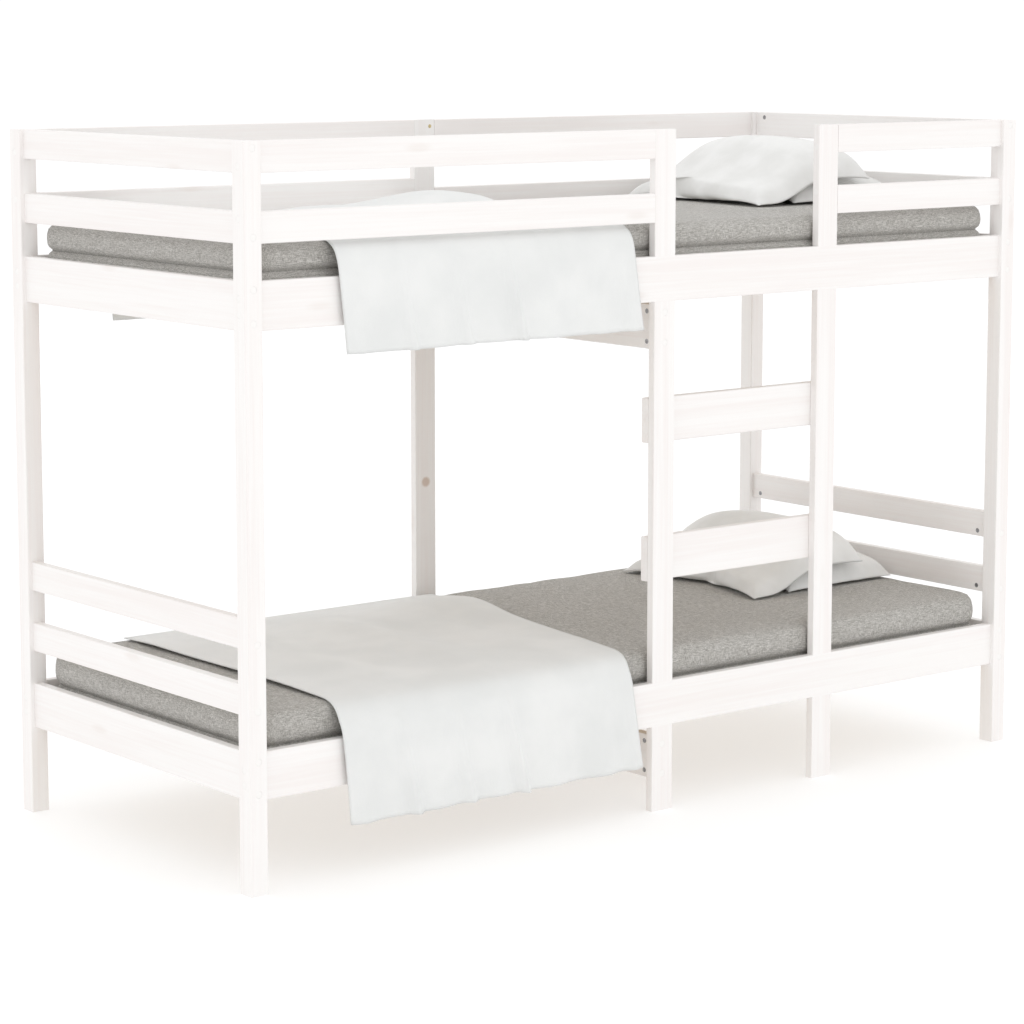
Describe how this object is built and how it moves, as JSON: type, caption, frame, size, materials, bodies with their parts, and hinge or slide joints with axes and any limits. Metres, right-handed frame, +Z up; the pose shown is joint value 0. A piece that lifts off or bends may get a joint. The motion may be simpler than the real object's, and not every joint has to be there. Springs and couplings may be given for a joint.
{
  "type": "bunk bed",
  "caption": "Low bunk bed in white pine with a built-in ladder, guard rails, slatted bases, mattresses, pillows and blankets.",
  "frame": {"origin": "on the floor under the middle of the frame", "axes": "+X along the bed to the head end, +Y from the ladder side to the back, +Z up"},
  "size_m": [1.955, 0.805, 1.337],
  "materials": {
    "white_pine": "white lacquered pine",
    "natural_pine": "planed, unpainted pine",
    "mattress_cover": "grey-beige melange linen weave",
    "pillow_cover": "off-white cotton",
    "blanket_cloth": "off-white soft cloth",
    "zinc_steel": "zinc plated",
    "white_cap": "white moulded plastic"
  },
  "bodies": {
    "root": {"back_guard_low_foot": "white_pine", "back_guard_low_head": "white_pine", "back_guard_top": "white_pine", "barrel_nuts": "zinc_steel", "blanket_lower": "blanket_cloth", "blanket_upper": "blanket_cloth", "bolt_cover_caps": "white_cap", "centre_post_back": "white_pine", "cleat_screws": "zinc_steel", "cross_stretcher_lower": "white_pine", "cross_stretcher_upper": "white_pine", "end_board_high_foot": "white_pine", "end_board_high_head": "white_pine", "end_board_low_foot": "white_pine", "end_board_low_head": "white_pine", "end_guard_low_foot": "white_pine", "end_guard_low_head": "white_pine", "end_guard_top_foot": "white_pine", "end_guard_top_head": "white_pine", "end_rail_lower_foot": "white_pine", "end_rail_lower_head": "white_pine", "end_rail_upper_foot": "white_pine", "end_rail_upper_head": "white_pine", "frame_bolts": "zinc_steel", "front_guard_low_foot": "white_pine", "front_guard_low_head": "white_pine", "front_guard_top_foot": "white_pine", "front_guard_top_head": "white_pine", "ladder_step_lower": "white_pine", "ladder_step_upper": "white_pine", "ladder_upright_left": "white_pine", "ladder_upright_right": "white_pine", "lap_joint_screws": "zinc_steel", "mattress_lower": "mattress_cover", "mattress_upper": "mattress_cover", "post_back_foot": "white_pine", "post_back_head": "white_pine", "post_front_foot": "white_pine", "post_front_head": "white_pine", "side_rail_lower_back": "white_pine", "side_rail_lower_front": "white_pine", "side_rail_upper_back": "white_pine", "side_rail_upper_front": "white_pine", "slat_cleat_lower_back": "natural_pine", "slat_cleat_lower_front": "natural_pine", "slat_cleat_upper_back": "natural_pine", "slat_cleat_upper_front": "natural_pine", "slat_screws": "zinc_steel", "slats_lower": "natural_pine", "slats_upper": "natural_pine", "step_screws": "zinc_steel", "wooden_dowels": "natural_pine"},
    "pillow_flat_lower": {"pillow_flat_lower": "pillow_cover"},
    "pillow_leaning_lower": {"pillow_leaning_lower": "pillow_cover"},
    "pillow_flat_upper": {"pillow_flat_upper": "pillow_cover"},
    "pillow_leaning_upper": {"pillow_leaning_upper": "pillow_cover"}
  },
  "joints": [
    {"name": "lift_pillow_flat_lower", "type": "slide", "parent": "root", "child": "pillow_flat_lower", "axis": [0, 0, 1], "range_m": [0, 0.1]},
    {"name": "lift_pillow_leaning_lower", "type": "slide", "parent": "pillow_flat_lower", "child": "pillow_leaning_lower", "axis": [0, 0, 1], "range_m": [0, 0.1]},
    {"name": "lift_pillow_flat_upper", "type": "slide", "parent": "root", "child": "pillow_flat_upper", "axis": [0, 0, 1], "range_m": [0, 0.1]},
    {"name": "lift_pillow_leaning_upper", "type": "slide", "parent": "pillow_flat_upper", "child": "pillow_leaning_upper", "axis": [0, 0, 1], "range_m": [0, 0.1]}
  ]
}
